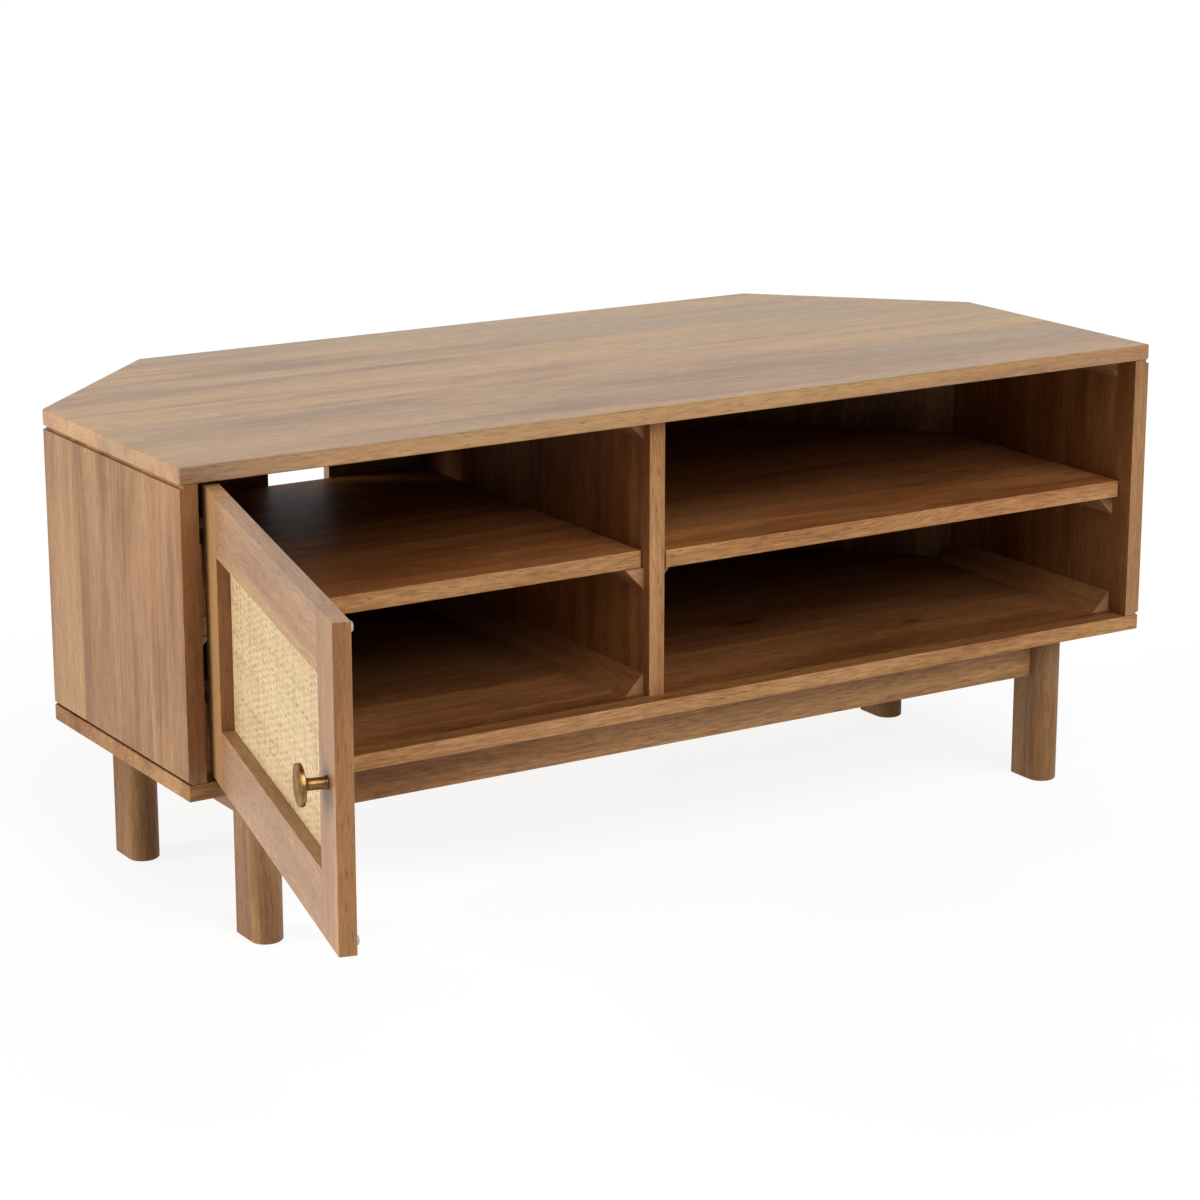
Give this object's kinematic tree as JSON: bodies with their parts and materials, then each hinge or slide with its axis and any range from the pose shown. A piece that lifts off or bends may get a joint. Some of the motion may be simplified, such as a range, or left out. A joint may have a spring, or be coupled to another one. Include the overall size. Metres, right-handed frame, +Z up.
{
  "type": "media cabinet",
  "caption": "Low corner-fitting media cabinet with cut-off back corners, an open shelved bay, a cane-panelled hinged door with a round knob, and half-round legs joined by rails.",
  "frame": {"origin": "middle of the whole object's box, with the door open as stored, on the floor", "axes": "+X along the front to the viewer's right, +Y from the front to the back, +Z up"},
  "size_m": [1.2094, 0.9382, 0.465],
  "materials": {
    "hardwood_top": "matt lacquer over pale, straight-grained boards",
    "hardwood": "matt lacquer",
    "cane": "woven natural cane, unvarnished",
    "antique_brass": "aged, satin",
    "plated_steel": "zinc plated, satin",
    "clear_rubber": "translucent, soft",
    "beech_dowel": "plain"
  },
  "bodies": {
    "case": {"back_board_left": "hardwood", "back_board_middle": "hardwood", "back_board_right": "hardwood", "back_board_screws": "plated_steel", "bottom_panel": "hardwood", "cleat_bottom_divider_left": "hardwood", "cleat_bottom_left_side": "hardwood", "cleat_bottom_right_side": "hardwood", "cleat_shelf_divider_left": "hardwood", "cleat_shelf_divider_right": "hardwood", "cleat_shelf_left_side": "hardwood", "cleat_shelf_right_side": "hardwood", "cleat_top_divider_left": "hardwood", "cleat_top_left_side": "hardwood", "cleat_top_right_side": "hardwood", "corner_block_back_left": "hardwood", "corner_block_back_right": "hardwood", "corner_block_front_left": "hardwood", "corner_block_front_right": "hardwood", "divider": "hardwood", "filler_strip_lower": "hardwood", "filler_strip_upper": "hardwood", "hinge_arm_lower": "plated_steel", "hinge_arm_upper": "plated_steel", "hinge_plate_lower": "plated_steel", "hinge_plate_screws": "plated_steel", "hinge_plate_upper": "plated_steel", "leg_back_left": "hardwood", "leg_back_right": "hardwood", "leg_front_left": "hardwood", "leg_front_right": "hardwood", "leg_studs": "plated_steel", "rail_back": "hardwood", "rail_dowels": "beech_dowel", "rail_front": "hardwood", "rail_left": "hardwood", "rail_right": "hardwood", "shelf_left": "hardwood", "shelf_right": "hardwood", "side_panel_left": "hardwood", "side_panel_right": "hardwood", "top_panel": "hardwood_top"},
    "door": {"bead_bottom": "hardwood", "bead_free_side": "hardwood", "bead_hinge_side": "hardwood", "bead_top": "hardwood", "cane_panel": "cane", "door_bumpers": "clear_rubber", "door_rail_bottom": "hardwood", "door_rail_top": "hardwood", "door_stile_free": "hardwood", "door_stile_hinge": "hardwood", "hinge_cup_lower": "plated_steel", "hinge_cup_screws": "plated_steel", "hinge_cup_upper": "plated_steel", "hinge_pins": "plated_steel", "knob": "antique_brass", "knob_screw": "plated_steel"}
  },
  "joints": [
    {"name": "door_hinge", "type": "hinge", "parent": "case", "child": "door", "pos_m": [-0.46529, -0.00636, 0.3335], "axis": [0, 0, -1], "range_deg": [-104, 0]}
  ]
}
